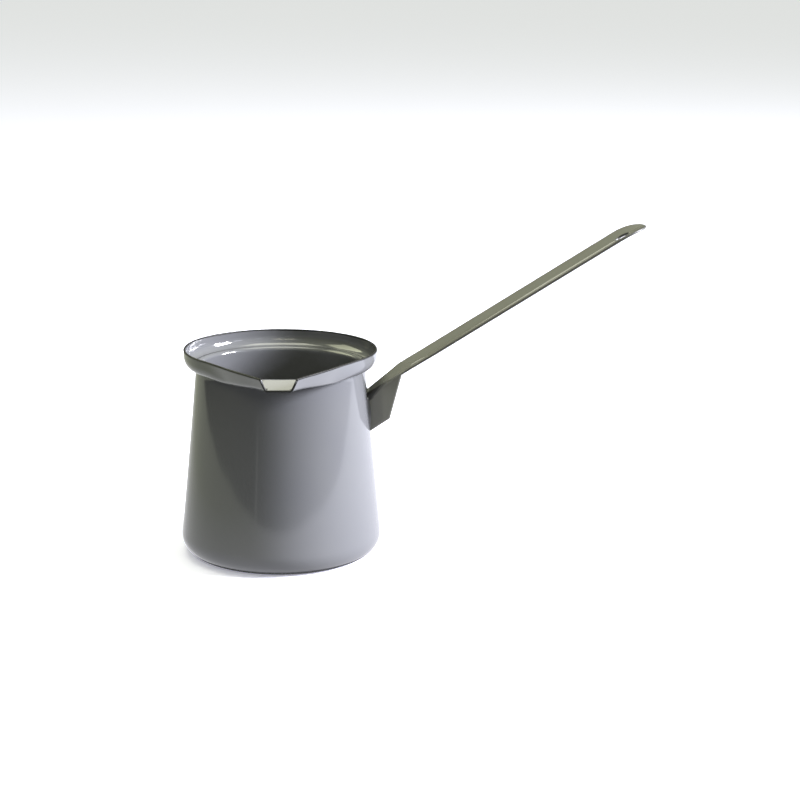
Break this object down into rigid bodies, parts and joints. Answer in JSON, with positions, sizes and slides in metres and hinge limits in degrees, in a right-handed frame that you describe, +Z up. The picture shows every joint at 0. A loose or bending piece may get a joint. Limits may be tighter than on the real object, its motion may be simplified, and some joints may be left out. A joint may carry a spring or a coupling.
{
  "type": "melting pot",
  "caption": "Small enamelled pouring pot for melting wax, with a flared body, a stepped collar, a V-shaped beak and a long strap handle.",
  "frame": {"origin": "centre of the base, on the surface that the pot stands on", "axes": "+Z up along the pot's axis, +X out along the handle, the beak points along -Y"},
  "size_m": [0.2162, 0.114, 0.1562],
  "materials": {
    "grey_enamel": "glossy fired enamel on steel",
    "black_edge_enamel": "glossy fired enamel on steel"
  },
  "bodies": {
    "root": {"pot_body": "grey_enamel", "rim_edging": "black_edge_enamel", "handle": "grey_enamel", "handle_welds": "grey_enamel"}
  },
  "joints": []
}
